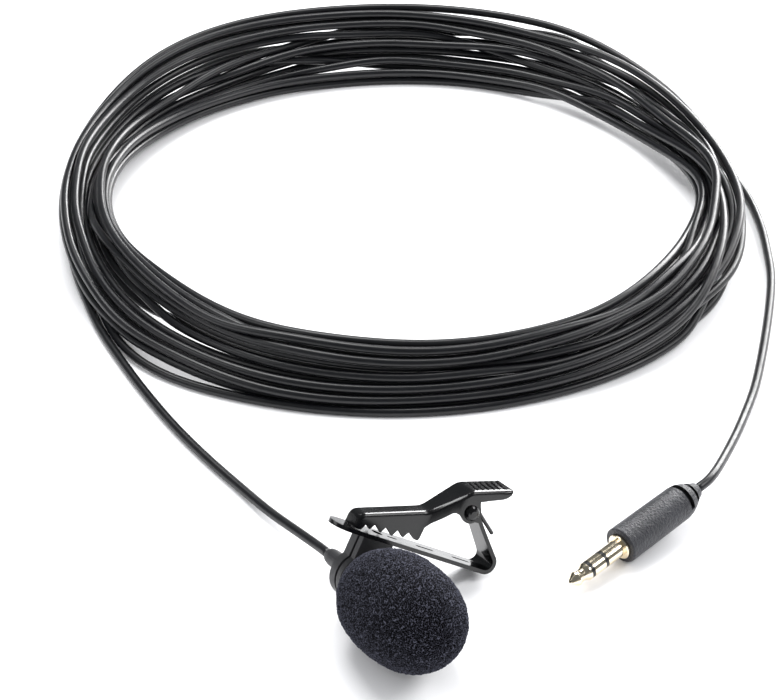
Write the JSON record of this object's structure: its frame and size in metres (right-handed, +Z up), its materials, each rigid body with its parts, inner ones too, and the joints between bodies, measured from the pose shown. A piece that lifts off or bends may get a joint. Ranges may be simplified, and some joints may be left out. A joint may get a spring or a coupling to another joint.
{
  "type": "lavalier microphone",
  "caption": "Small tie-clip microphone with an egg-shaped foam windscreen, a sprung toothed clip, a long thin coiled cord and a gold three-contact audio plug.",
  "frame": {"origin": "bottom centre of the microphone, its windscreen and its clip as they lie on a table, with the cord and the plug left out", "axes": "+Z up from the table; the microphone points along -Y with its nose tilted up, its clip reaches out along +X and the cord leaves along +Y"},
  "size_m": [0.1615, 0.2218, 0.0208],
  "materials": {
    "foam": "open-cell foam, matt",
    "black_metal": "semi-gloss black over sheet metal",
    "black_plastic": "finely textured",
    "black_rubber": "satin",
    "cord_jacket": "semi-gloss PVC jacket",
    "nickel": "plain nickel",
    "gold_plate": "polished gold plate",
    "copper_lead": "enamelled copper",
    "circuit_board": "solder mask",
    "felt": "matt felt",
    "insulator": "smooth",
    "premould": "natural polyethylene"
  },
  "bodies": {
    "microphone": {"mic_housing": "black_metal", "mic_grille": "nickel", "acoustic_felt": "felt", "capsule_can": "nickel", "capsule_gasket": "black_rubber", "fet_board": "circuit_board", "solder_signal": "nickel", "solder_ground": "nickel", "lead_signal": "copper_lead", "lead_ground": "copper_lead", "cord_in_boot": "cord_jacket", "cord_anchor": "nickel", "mic_rear_cap": "black_plastic", "cable_boot": "black_rubber", "cord_mic_tail": "cord_jacket", "cord_coil": "cord_jacket", "cord_plug_tail": "cord_jacket", "cord_in_plug": "cord_jacket", "plug_tip": "gold_plate", "plug_insulator_tip": "insulator", "plug_ring_contact": "gold_plate", "plug_insulator_ring": "insulator", "plug_sleeve": "gold_plate", "plug_core": "premould", "plug_barrel": "black_plastic"},
    "clip": {"clip_holder": "black_plastic", "clip_base": "black_metal", "holder_rivet": "nickel", "hinge_pin": "black_metal", "pin_retainer": "black_metal", "torsion_spring": "black_metal"},
    "lever": {"clip_lever": "black_metal"},
    "windscreen": {"windscreen_foam": "foam"}
  },
  "joints": [
    {"name": "clip_swivel", "type": "hinge", "parent": "microphone", "child": "clip", "pos_m": [-0.01109, -0.00625, 0.0104], "axis": [0, -0.9799, 0.1994], "continuous": true},
    {"name": "lever_pivot", "type": "hinge", "parent": "clip", "child": "lever", "pos_m": [0.01164, 0.01088, 0.01386], "axis": [0, 0.9799, -0.1994], "range_deg": [0, 28], "stiffness_Nm_per_rad": 0.05, "springref_deg": -34.38, "deforming": ["torsion_spring"]},
    {"name": "windscreen_pull", "type": "slide", "parent": "microphone", "child": "windscreen", "axis": [0, -0.9799, 0.1994], "range_m": [0, 0.022]}
  ]
}
